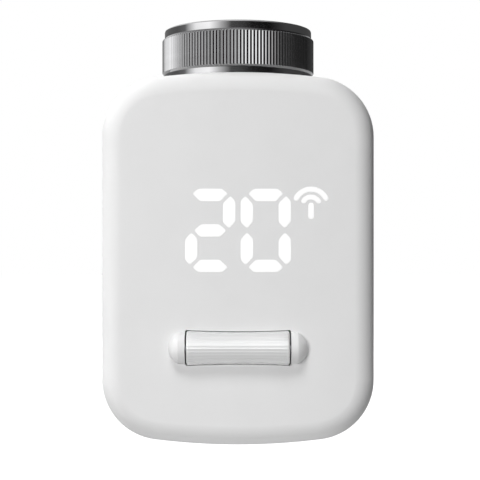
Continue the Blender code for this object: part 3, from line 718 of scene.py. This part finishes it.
@dataclass
class Case:
    """The two moulded halves of the case, which share one rounded and crowned outline."""

    workshop: Workshop
    roller: Roller
    width: float = 58.7
    height: float = 80.5
    centre_z: float = -43.9
    corner_radius: float = 13.0
    crown_radius: float = 143.0
    fillet: float = 4.5
    wall: float = 2.0
    front_y: float = -25.0
    back_y: float = 25.0
    seam_y: float = 18.9
    seam_gap: float = 0.3
    rim_edge: float = 0.3
    recess_radius: float = 17.9
    recess_floor_z: float = -5.5
    collar_radius: float = 18.6
    collar_low_z: float = -7.6
    bore_radius: float = 13.3
    post_root: float = 1.4
    pilot_share: float = 0.42
    pilot_floor: float = 2.2
    groove_radius: float = 0.7
    vents: int = 5
    vent_pitch: float = 4.0
    vent_ends: tuple[float, float] = (-15.3, -8.7)
    grip_grooves: int = 3
    grip_pitch: float = 2.6
    grip_drop: float = 25.0
    grip_half: float = 7.0
    hook_rise: float = 38.2
    hook_ends: tuple[float, float] = (14.2, 17.0)

    def carry_round(self, draft: Draft) -> None:
        """Sweeps the drawn profile once round the outline, from the middle of the right side."""
        corner_x = self.width / 2 - self.corner_radius
        reach = self.crown_radius - self.corner_radius
        rise = self.height / 2 - self.crown_radius + math.sqrt(reach**2 - corner_x**2)
        lean = math.degrees(math.asin(corner_x / reach))
        draft.whole()
        draft.push((0, 0, rise))
        for side, back in ((1, -2 * rise), (-1, rise)):
            crown = (0, 0, self.centre_z + side * (self.height / 2 - self.crown_radius))
            draft.spin((side * corner_x, 0, self.centre_z + side * rise), lean - 90, 16, Axis.Y)
            draft.spin(crown, -2 * lean, 20, Axis.Y)
            draft.spin((-side * corner_x, 0, self.centre_z + side * rise), lean - 90, 16, Axis.Y)
            draft.push((0, 0, back))
        draft.weld()

    def half(self, name: str, face_y: float, rim_y: float) -> Object:
        """One half of the case: an open cup with an even wall and a filleted face.

        Args:
            name: The piece's name.
            face_y: Where its outer face lies.
            rim_y: Where its open rim lies.

        Returns:
            The piece.
        """
        inward = 1 if rim_y > face_y else -1
        side_x, z = self.width / 2, self.centre_z
        face_x = side_x - self.fillet
        bend_y = face_y + inward * self.fillet
        draft = Draft(name, (face_x, face_y, z))
        draft.arc((face_x, bend_y, z), inward * 90.0, 12)
        draft.line((side_x, rim_y - inward * self.rim_edge, z))
        draft.arc((side_x - self.rim_edge, rim_y - inward * self.rim_edge, z), inward * 90.0, 3)
        draft.line((side_x - self.wall, rim_y, z), (side_x - self.wall, bend_y, z))
        draft.arc((face_x, bend_y, z), inward * -90.0, 6)
        self.carry_round(draft)
        middle_y = face_y + inward * self.wall / 2
        draft.cap(lambda point: (point.y - middle_y) * inward < 0)
        draft.cap(lambda point: (point.y - middle_y) * inward > 0)
        return draft.done()

    def front(self) -> Object:
        """The front shell, with the nut's recess, the roller's window and bosses, vents and posts."""
        shell = self.half("case_front_shell", self.front_y, self.seam_y - self.seam_gap / 2)
        carve(shell, drum(self.collar_radius, self.collar_low_z, self.recess_floor_z + 0.2), how=Carve.JOIN)
        # Four posts for the battery tray and two for the board: x, rise above the centre, radius and end.
        posts = [(side * x, rise, 2.4, 16.9) for x, rise in ((22, 31.5), (22.5, -30)) for side in (1, -1)]
        posts += [(-16.3, 12, 1.8, -18.1), (16.3, -29, 1.8, -18.1)]
        for x, rise, radius, top in posts:
            place = (x, 0, self.centre_z + rise)
            root, floor = self.front_y + self.post_root, self.front_y + self.pilot_floor
            carve(shell, drum(radius, root, top, place, Axis.Y), how=Carve.JOIN)
            carve(shell, drum(radius * self.pilot_share, floor, top + 1, place, Axis.Y))
        carve(shell, drum(self.recess_radius, self.recess_floor_z, 2), drum(self.bore_radius, -12, 2))
        self.roller.fit_to(shell)
        low_z = self.centre_z - self.height / 2 - 1
        near, far = self.vent_ends
        for i in range(self.vents):
            x = self.vent_pitch * (i - self.vents // 2)
            carve(shell, slot_tool((x, near, low_z), (x, far, low_z), self.groove_radius, (0, 0, 5)))
        return shell

    def rear(self) -> Object:
        """The battery cover, with its two hooks and a grip of three shallow grooves."""
        cover = self.half("case_battery_cover", self.back_y, self.seam_y + self.seam_gap / 2)
        top = self.centre_z + self.hook_rise
        for side in (1, -1):
            near, far = sorted(side * end for end in self.hook_ends)
            arm = block((near, 19.3, top - 2.4), (far, 22, top))
            hook = block((near, 17.0, top - 2.4), (far, 19.9, top - 1.4))
            carve(cover, arm, hook, how=Carve.JOIN)
        half, y = self.grip_half, self.back_y + 0.5
        for i in range(self.grip_grooves):
            z = self.centre_z - self.grip_drop - self.grip_pitch * i
            carve(cover, slot_tool((-half, y, z), (half, y, z), self.groove_radius, (0, -1.1, 0)))
        return cover

    def build(self) -> None:
        """Builds both halves and sets them on their bodies."""
        front, rear = self.front(), self.rear()
        for piece, body, node in ((front, "case", "front_shell"), (rear, "battery_cover", "battery_cover")):
            flatten_shading(piece)
            self.workshop.settle(piece, body, SATIN_ABS, node)


@dataclass
class UnionNut:
    """The knurled M30 x 1.5 union nut, its thread, and the brass coupling that it turns on."""

    workshop: Workshop
    top_z: float = 8.5
    bottom_z: float = -5.1
    knurl_radius: float = 17.5
    knurl_low_z: float = -1.3
    knurl_high_z: float = 6.1
    ring_radius: float = 16.95
    skirt_radius: float = 17.1
    groove_depth: float = 0.21
    ribs: int = 144
    rib_steps: int = 12
    thread_radius: float = 15.02
    thread_minor: float = 14.25
    thread_pitch: float = 1.5
    lip_radius: float = 13.3
    lip_z: float = -2.5

    def knurled(self) -> Object:
        """The nut's body: one rib's sector is swept, its grooves are drawn in, and it is repeated."""
        edge = 0.35
        profile = [
            (self.lip_radius, self.bottom_z),
            (self.skirt_radius - edge, self.bottom_z),
            (self.skirt_radius, self.bottom_z + edge),
            (self.skirt_radius, self.knurl_low_z - 0.5),
            (self.knurl_radius - 0.06, self.knurl_low_z - 0.1),
            (self.knurl_radius, self.knurl_low_z),
            (self.knurl_radius, self.knurl_high_z),
            (self.knurl_radius - 0.06, self.knurl_high_z + 0.1),
            (self.ring_radius, self.knurl_high_z + 0.55),
            (self.ring_radius, self.top_z - edge),
            (self.ring_radius - 0.1, self.top_z - 0.1),
            (self.ring_radius - edge, self.top_z),
            (self.thread_radius + 0.5, self.top_z),
            (self.thread_radius, self.top_z - 0.5),
            (self.thread_radius, self.lip_z),
            (self.lip_radius, self.lip_z),
        ]
        points = [(radius, 0.0, height) for radius, height in profile]
        draft = Draft("union_nut_body", points[0])
        draft.line(*points[1:], points[0])
        draft.weld()
        pitch = 360.0 / self.ribs
        draft.spin((0, 0, 0), pitch, self.rib_steps)
        for step in range(self.rib_steps + 1):
            turn = step / self.rib_steps
            shrink = 1 - self.groove_depth / self.knurl_radius * (1 + math.cos(math.tau * turn)) / 2
            draft.pick(lambda point: self.on_knurl(point, pitch * turn))
            draft.stretch((shrink, shrink, 1), (0, 0, 0))
        draft.whole()
        draft.spin((0, 0, 0), pitch * (self.ribs - 1), self.ribs - 1, copies=True)
        body = draft.done()
        flatten_shading(body, 38.0)
        return body

    def on_knurl(self, point: Vector, degrees: float) -> bool:
        """Whether a point is on the knurl's crest, at an angle round the nut."""
        outside = math.hypot(point.x, point.y) > self.knurl_radius - 0.02
        return outside and abs(math.degrees(math.atan2(point.y, point.x)) - degrees) < 0.05

    def thread(self) -> Object:
        """The internal thread: one V-shaped ridge wound up the bore, with both ends closed."""
        root, crest = self.thread_radius + 0.1, self.thread_minor
        turns, start_z = 6, -1.6
        half, crest_half = 0.62, 0.1
        draft = Draft("union_nut_thread", (root, 0, start_z - half))
        draft.line((crest, 0, start_z - crest_half), (crest, 0, start_z + crest_half))
        draft.line((root, 0, start_z + half), (root, 0, start_z - half))
        draft.weld()
        bpy.ops.object.mode_set(mode="OBJECT")
        apply_modifier(
            draft.piece, "SCREW", axis="Z", angle=math.tau, screw_offset=self.thread_pitch * MM,
            iterations=turns, steps=72, render_steps=72, use_merge_vertices=False,
        )
        bpy.ops.object.mode_set(mode="EDIT")
        draft.cap(lambda point: point.z < start_z + half + 0.05)
        draft.cap(lambda point: point.z > start_z + turns * self.thread_pitch - half - 0.05)
        return draft.done()

    def coupling(self) -> Object:
        """The coupling: a turned barrel with a flange, a guide bore and the screwed foot of its CAD node."""
        profile = [
            (8.3, -16.9), (13.0, -16.9), (13.0, -9.9), (16.0, -9.9), (16.0, -7.9), (13.0, -7.9),
            (13.0, -2.2), (13.7, -2.2), (14.0, -1.9), (14.0, -0.3), (13.7, 0), (10.6, 0),
            (10.2, -0.4), (10.2, -10.5), (8.7, -10.5), (8.3, -10.9),
        ]
        barrel = turned("valve_coupling_barrel", profile, 120).done()
        foot_x, foot_y, foot_low, foot_high = 15.7, 11.6, -16.9, -14.9
        foot = block((-foot_x, -foot_y, foot_low), (foot_x, foot_y, foot_high))
        carve(foot, drum(12.4, foot_low - 1.1, foot_high + 0.9))
        carve(barrel, foot, how=Carve.JOIN)
        # Three screw holes, and a slot across for the plunger's keys.
        screw_x, screw_y = 13.35, 9.35
        for x, y in ((screw_x, screw_y), (-screw_x, screw_y), (screw_x, -screw_y)):
            carve(barrel, drum(1.1, foot_low - 1.1, foot_high + 0.9, (x, y, 0)))
        carve(barrel, block((-9.7, -1.4, -18), (9.7, 1.4, -10.9)))
        shade(barrel)
        return barrel

    def plunger(self) -> Object:
        """The plunger: a turned head with a raised pad, two keys and a rod."""
        profile = [
            (0, -16.0), (0.8, -16.0), (1.2, -15.6), (4.6, -15.6), (4.9, -15.9), (7.6, -15.9), (7.9, -16.3),
            (7.9, -18.0), (7.6, -18.3), (2.0, -18.3), (2.0, -28.0), (1.4, -28.6), (0, -28.6),
        ]
        head = turned("valve_plunger", profile, 96).done()
        keys = block((-9.3, -1.1, -16.9), (9.3, 1.1, -16.1))
        carve(head, keys, how=Carve.JOIN)
        shade(head)
        return head

    def build(self) -> None:
        """Builds the nut, its thread, the coupling and the plunger."""
        settle = self.workshop.settle
        settle(self.knurled(), "union_nut", BLACK_NICKEL, "union_nut")
        settle(self.thread(), "union_nut", BLACK_NICKEL)
        settle(self.coupling(), "case", TURNED_BRASS, "valve_coupling")
        settle(self.plunger(), "plunger", ACETAL, "plunger")


class Tip(Enum):
    """Where a display segment's pointed end lies across its width."""

    CENTRED = 0.0
    OUTWARD = 0.3


@dataclass
class Display:
    """Two lit seven-segment digits and a small radio mark, seen through the front wall."""

    workshop: Workshop
    front_y: float = -25.0
    proud: float = 0.03
    sunk: float = 0.05
    centre_z: float = -37.98
    row_step: float = 7.55
    column: float = 4.04
    digit_x: float = 5.93
    thickness: float = 2.55
    bar: float = 7.3
    middle_bar: float = 6.7
    upright: float = 6.75
    upright_step: float = 3.91
    corner: float = 0.3
    mark_x: float = 15.57
    mark_z: float = -32.73
    mark_arcs: tuple = (("outer", 3.55, 63, 1.0), ("inner", 1.88, 57, 0.95))
    mark_bar: tuple[float, float] = (2.48, 5.85)
    mark_bar_radius: float = 0.57

    def face(self, draft: Draft) -> Object:
        """Closes an outline drawn on the front face, rounds its corners and makes it a thin lit window."""
        draft.weld()
        bpy.ops.mesh.edge_face_add()
        bpy.ops.mesh.bevel(offset=self.corner * MM, segments=3, affect="VERTICES", clamp_overlap=True)
        draft.whole()
        draft.push((0, self.sunk + self.proud, 0))
        return draft.done()

    def segment(self, name: str, length: float, first: float, second: float, upright: bool) -> Object:
        """A lit segment with pointed ends, about the front face's centre line.

        Args:
            name: The piece's name.
            length: Its length between points.
            first: How far its low or left point lies to the outer side.
            second: How far its high or right point lies to the outer side.
            upright: Whether it stands upright, with its outer side to the right.

        Returns:
            The segment, centred on x = z = 0.
        """
        half, across = length / 2, self.thickness / 2
        outer, inner = 1.15 * across, across

        def shoulder(tip: float, side: int) -> float:
            return (outer if side > 0 else inner) - side * tip

        outline = [
            (-half, first),
            (-half + shoulder(first, -1), -across),
            (half - shoulder(second, -1), -across),
            (half, second),
            (half - shoulder(second, 1), across),
            (-half + shoulder(first, 1), across),
        ]
        y = self.front_y - self.proud
        points = [(b, y, a) if upright else (a, y, b) for a, b in outline]
        draft = Draft(name, points[0])
        draft.line(*points[1:], points[0])
        return self.face(draft)

    def placed(self, model: Object, name: str, x: float, z: float, half_turn: bool = False) -> None:
        """Copies a model segment to its place.

        Args:
            model: The segment, centred on x = z = 0.
            name: The copy's name.
            x: Where its centre goes.
            z: Where its centre goes.
            half_turn: Whether it is turned half round about Y.
        """
        select_only(model)
        bpy.ops.object.duplicate(linked=False)
        copy = bpy.context.object
        copy.name = name
        if half_turn:
            copy.rotation_euler = (0, math.pi, 0)
        copy.location = Vector((x, 0, z)) * MM
        bpy.ops.object.transform_apply(location=True, rotation=True, scale=True)
        self.workshop.settle(copy, "case", LIT_WINDOW)

    def digits(self) -> None:
        """Lights the segments that show 20."""
        out, mid = Tip.OUTWARD.value, Tip.CENTRED.value
        bar = self.segment("bar_model", self.bar, out, out, False)
        middle = self.segment("middle_model", self.middle_bar, mid, mid, False)
        right = self.segment("right_model", self.upright, mid, out, True)
        left = self.segment("left_model", self.upright, -mid, -out, True)
        for digit, x, lit in (("tens", -self.digit_x, "abged"), ("units", self.digit_x, "abcdef")):
            places = {
                "a": (bar, x, self.row_step, False),
                "b": (right, x + self.column, self.upright_step, False),
                "c": (left, x + self.column, -self.upright_step, True),
                "d": (bar, x, -self.row_step, True),
                "e": (right, x - self.column, -self.upright_step, True),
                "f": (left, x - self.column, self.upright_step, False),
                "g": (middle, x, 0.0, False),
            }
            for letter in lit:
                model, place_x, rise, half_turn = places[letter]
                self.placed(model, f"display_{digit}_{letter}", place_x, self.centre_z + rise, half_turn)
        for model in (bar, middle, right, left):
            bpy.data.objects.remove(model)

    def mark_arc(self, name: str, radius: float, half_angle: float, width: float) -> Object:
        """One arc of the radio mark, with round ends.

        Args:
            name: The piece's name.
            radius: Its mid-line's radius.
            half_angle: How far it reaches to each side of upright, in degrees.
            width: Its width.

        Returns:
            The arc.
        """
        y = self.front_y - self.proud
        middle = Vector((self.mark_x, y, self.mark_z))
        lean = math.radians(half_angle)
        ends = [middle + radius * Vector((side * math.sin(lean), 0, math.cos(lean))) for side in (1, -1)]
        outward = (ends[0] - middle).normalized() * width / 2
        draft = Draft(name, tuple(ends[0] + outward))
        draft.arc(tuple(middle), -2 * half_angle, 20, Axis.Y)
        draft.arc(tuple(ends[1]), -180, 8, Axis.Y)
        draft.arc(tuple(middle), 2 * half_angle, 20, Axis.Y)
        draft.arc(tuple(ends[0]), -180, 8, Axis.Y)
        return draft.plate((0, self.sunk + self.proud, 0))

    def mark(self) -> None:
        """Lights the radio mark: two arcs over a short bar."""
        settle = self.workshop.settle
        for name, radius, half_angle, width in self.mark_arcs:
            settle(self.mark_arc(f"display_mark_{name}", radius, half_angle, width), "case", LIT_WINDOW)
        y, radius = self.front_y - self.proud, self.mark_bar_radius
        low, high = self.centre_z + self.mark_bar[0] + radius, self.centre_z + self.mark_bar[1] - radius
        draft = Draft("display_mark_bar", (self.mark_x + radius, y, low))
        draft.line((self.mark_x + radius, y, high)).arc((self.mark_x, y, high), -180, 10, Axis.Y)
        draft.line((self.mark_x - radius, y, low)).arc((self.mark_x, y, low), -180, 10, Axis.Y)
        settle(draft.plate((0, self.sunk + self.proud, 0)), "case", LIT_WINDOW)

    def build(self) -> None:
        """Builds all that is lit."""
        self.digits()
        self.mark()


@dataclass
class Cells:
    """The two AA cells under the battery cover."""

    workshop: Workshop
    x: float = 7.9
    y: float = 13.9
    radius: float = 7.2
    length: float = 50.5
    low_z: float = -77.3
    spring_room: float = 1.4
    band_length: float = 13.0
    wrap_lap: float = 0.25
    wrap_start: float = 0.3

    def cell(self, side: int) -> None:
        """One cell, whose round contact is at the top on the left and at the bottom on the right.

        Args:
            side: 1 for the right cell, -1 for the left.
        """
        name = "right" if side > 0 else "left"
        can = self.length - 1
        profile = [
            (0, 0.25), (4.6, 0.25), (4.9, 0.0), (6.6, 0.0), (7.05, 0.15), (self.radius, 0.5),
            (self.radius, can - 0.6), (7.0, can - 0.2), (6.5, can), (5.6, can - 0.35), (3.1, can - 0.35),
            (2.75, can), (2.7, can + 0.8), (2.4, can + 1.0), (0, can + 1.0),
        ]
        low, lap = self.low_z, can - self.wrap_lap
        band, wrap = (can - self.band_length, lap), (self.wrap_start, lap)
        if side > 0:
            # This cell stands on its head.
            profile = [(radius, self.length - height) for radius, height in profile]
            band, wrap = ((self.length - end, self.length - start) for start, end in (band, wrap))
            low -= self.spring_room
        piece = turned(f"aa_cell_{name}", profile, 96, (side * self.x, self.y, low)).done()
        band, wrap = ((low + start, low + end) for start, end in (band, wrap))
        finish = CellWrap(
            f"cell_wrap_{name}", SHRINK_WRAP.slot, SHRINK_WRAP.colour, SHRINK_WRAP.tint, 0.25,
            coat=0.5, grain_mm=2.0, band=band, wrap=wrap,
        )
        self.workshop.settle(piece, "case", finish, f"battery_{name}")

    def build(self) -> None:
        """Builds both cells."""
        for side in (-1, 1):
            self.cell(side)


class Internals:
    """The CAD nodes that stay as they are, and get the finish of their material slot."""

    def __init__(self, workshop: Workshop, nodes: dict[str, Object]) -> None:
        """Keeps the workshop and the frame's nodes."""
        self.workshop = workshop
        self.nodes = nodes

    def build(self) -> None:
        """Dresses every node by its slot."""
        by_slot = {finish.slot: finish for finish in FINISHES}
        for name, node in sorted(self.nodes.items()):
            slot = node.material_slots[0].material.name
            node.material_slots[0].material = self.workshop.material(by_slot[slot])
            LOG.info("%s: CAD node, %s", name, by_slot[slot].name)


@dataclass
class Studio:
    """A pale floor, a white backdrop, soft light from the upper left, and the camera."""

    camera_y: float = -304.0
    camera_z: float = -43.9
    lens: float = 98.25
    shift_x: float = 0.0042
    shift_y: float = 0.0381
    floor_z: float = -124.0

    def camera(self) -> None:
        """A level camera in front of the display."""
        data = bpy.data.cameras.new("camera")
        data.lens = self.lens
        data.shift_x, data.shift_y = self.shift_x, self.shift_y
        data.clip_start, data.clip_end = 0.01, 20.0
        made = bpy.data.objects.new("camera", data)
        made.location = Vector((0, self.camera_y, self.camera_z)) * MM
        made.rotation_euler = (math.pi / 2, 0, 0)
        bpy.context.scene.collection.objects.link(made)
        bpy.context.scene.camera = made

    def floor(self) -> None:
        """A white floor under the hanging object, which runs into the backdrop and lights it from below."""
        bpy.ops.object.select_all(action="DESELECT")
        bpy.ops.mesh.primitive_circle_add(
            vertices=64, radius=6.0, fill_type="NGON", location=(0, 0, self.floor_z * MM)
        )
        floor = bpy.context.object
        floor.name = "floor"
        made = bpy.data.materials.new("studio_floor")
        made.use_nodes = True
        tree = made.node_tree
        tree.nodes.clear()
        path = add_node(tree, "LightPath")
        source = add_node(tree, "TexCoord").outputs["Object"]
        spot = add_node(tree, "VectorMath", {0: source}, operation="LENGTH").outputs["Value"]
        # A lit patch half a metre wide, which brightens the case from below.
        share = add_node(tree, "MapRange", {"Value": spot, "From Max": 0.5})
        fade = ((0.0, 1.0), (0.08, 0.75), (0.16, 0.35), (0.32, 0.09), (1.0, 0.0))
        patch = add_node(tree, "ValToRGB", {"Fac": share}, fade)
        below = add_node(tree, "Emission", {"Color": patch, "Strength": 0.95})
        mirrored = add_node(tree, "Emission", {"Strength": 0.6})
        paint = add_node(tree, "BsdfDiffuse", {"Color": linear("#8C8C8C")})
        glow = add_node(tree, "Emission", {"Strength": 1.0})
        seen = add_node(tree, "AddShader", {0: paint, 1: glow})
        lit = add_node(tree, "MixShader", {0: path.outputs["Is Glossy Ray"], 1: below, 2: mirrored})
        mixed = add_node(tree, "MixShader", {0: path.outputs["Is Camera Ray"], 1: lit, 2: seen})
        add_node(tree, "OutputMaterial", {"Surface": mixed})
        floor.data.materials.append(made)

    def backdrop(self) -> None:
        """A white backdrop to the camera, and soft boxes and a dark flag for glossy surfaces to mirror."""
        world = bpy.data.worlds.new("studio")
        bpy.context.scene.world = world
        world.use_nodes = True
        tree = world.node_tree
        tree.nodes.clear()
        parts = add_node(tree, "SeparateXYZ", {0: add_node(tree, "TexCoord").outputs["Generated"]})
        ahead = add_node(tree, "Math", {0: parts.outputs["Y"], 1: -1.0}, operation="MULTIPLY")
        turn = add_node(tree, "Math", {0: parts.outputs["X"], 1: ahead}, operation="ARCTAN2")
        around = add_node(tree, "MapRange", {"Value": turn, "From Min": -math.pi, "From Max": math.pi})
        rise = add_node(tree, "MapRange", {"Value": parts.outputs["Z"], "From Min": -1.0, "From Max": 1.0})
        # Brightness by height: 0.5 is the horizon and 1 is overhead.
        heights = (
            (0.5, 0.62), (0.54, 0.62), (0.6, 0.5), (0.66, 0.62), (0.74, 0.56), (0.82, 0.38), (0.9, 0.32),
            (1.0, 0.38),
        )
        wall = add_node(tree, "ValToRGB", {"Fac": rise}, heights)
        # Share of it by angle round the object: 0 is behind, 0.25 left, 0.5 at the camera and 0.75 right.
        angles = ((0.0, 0.6), (0.2, 1.0), (0.5, 1.0), (0.62, 0.6), (0.71, 0.1), (0.9, 0.03), (1.0, 0.6))
        sides = add_node(tree, "ValToRGB", {"Fac": around}, angles)
        factors = {"Factor": 1.0, 6: wall, 7: sides}
        lit = add_node(tree, "Mix", factors, data_type="RGBA", blend_type="MULTIPLY")
        # A low belt of one soft box among dark flags, which only the nut mirrors.
        flags = (
            (0.0, 0.1), (0.2, 0.08), (0.25, 0.12), (0.31, 0.85), (0.375, 0.97), (0.43, 0.38), (0.47, 0.06),
            (0.52, 0.04), (0.56, 0.01), (0.64, 0.006), (0.72, 0.045), (0.8, 0.045), (0.93, 0.04),
        )
        belt = add_node(tree, "ValToRGB", {"Fac": around}, flags)
        edges = ((0.548, 0.0), (0.554, 1.0), (0.618, 1.0), (0.624, 0.0))
        height = add_node(tree, "ValToRGB", {"Fac": rise}, edges)
        mirror = add_node(tree, "Mix", {"Factor": height, 6: lit.outputs[2], 7: belt}, data_type="RGBA")
        path = add_node(tree, "LightPath")
        dark = add_node(tree, "Background", {"Color": (1, 1, 1, 1), "Strength": 0.02})
        gloss = add_node(tree, "Background", {"Color": mirror.outputs[2], "Strength": 2.6})
        white = add_node(tree, "Background", {"Color": (1, 1, 1, 1), "Strength": 1.0})
        mixed = add_node(tree, "MixShader", {0: path.outputs["Is Glossy Ray"], 1: dark, 2: gloss})
        shown = add_node(tree, "MixShader", {0: path.outputs["Is Camera Ray"], 1: mixed, 2: white})
        add_node(tree, "OutputWorld", {"Surface": shown})

    def soft_box(self, name: str, turn: float, rise: float, strength: float, reach: float = 1.0) -> None:
        """A round soft box that lights the object but isn't mirrored by it.

        Args:
            name: Its name.
            turn: Degrees round the object from the camera, to the right.
            rise: Degrees up from level.
            strength: The radiance that a white surface facing it takes on.
            reach: Its distance in metres.
        """
        data = bpy.data.lights.new(name, "AREA")
        data.shape = "DISK"
        data.size = 0.35 * reach
        data.energy = strength * (math.pi * reach) ** 2
        made = bpy.data.objects.new(name, data)
        around, up = math.radians(turn), math.radians(rise)
        away = Vector((math.sin(around) * math.cos(up), -math.cos(around) * math.cos(up), math.sin(up)))
        made.location = Vector((0, 0, self.camera_z * MM)) + away * reach
        made.rotation_euler = away.to_track_quat("Z", "Y").to_euler()
        made.visible_camera = False
        made.visible_glossy = False
        bpy.context.scene.collection.objects.link(made)

    def lights(self) -> None:
        """Broad light by the camera and over it, and light from behind on the left that edges the case."""
        boxes = {
            "front_left": (-24, 5, 0.4, 0.4),
            "front": (6, 5, 0.08),
            "overhead": (-10, 55, 0.5),
            "left": (-98, 18, 0.5),
            "back_left": (-140, 30, 0.2),
            "back_high": (-170, 60, 0.46),
            "back": (180, 10, 0.14),
        }
        for name, light in boxes.items():
            self.soft_box(f"{name}_box", *light)

    def build(self) -> None:
        """Builds the studio, in plain display colours."""
        self.camera()
        self.floor()
        self.backdrop()
        self.lights()
        bpy.context.scene.view_settings.view_transform = "Standard"


def main() -> None:
    """Builds the object's pieces in order, then the studio."""
    logging.basicConfig(level=logging.INFO, format="%(message)s")
    workshop = Workshop()
    Internals(workshop, frame["nodes"]).build()
    roller = Roller(workshop)
    Case(workshop, roller).build()
    roller.build()
    UnionNut(workshop).build()
    Display(workshop).build()
    Cells(workshop).build()
    Studio().build()


if __name__ == "__main__":
    main()
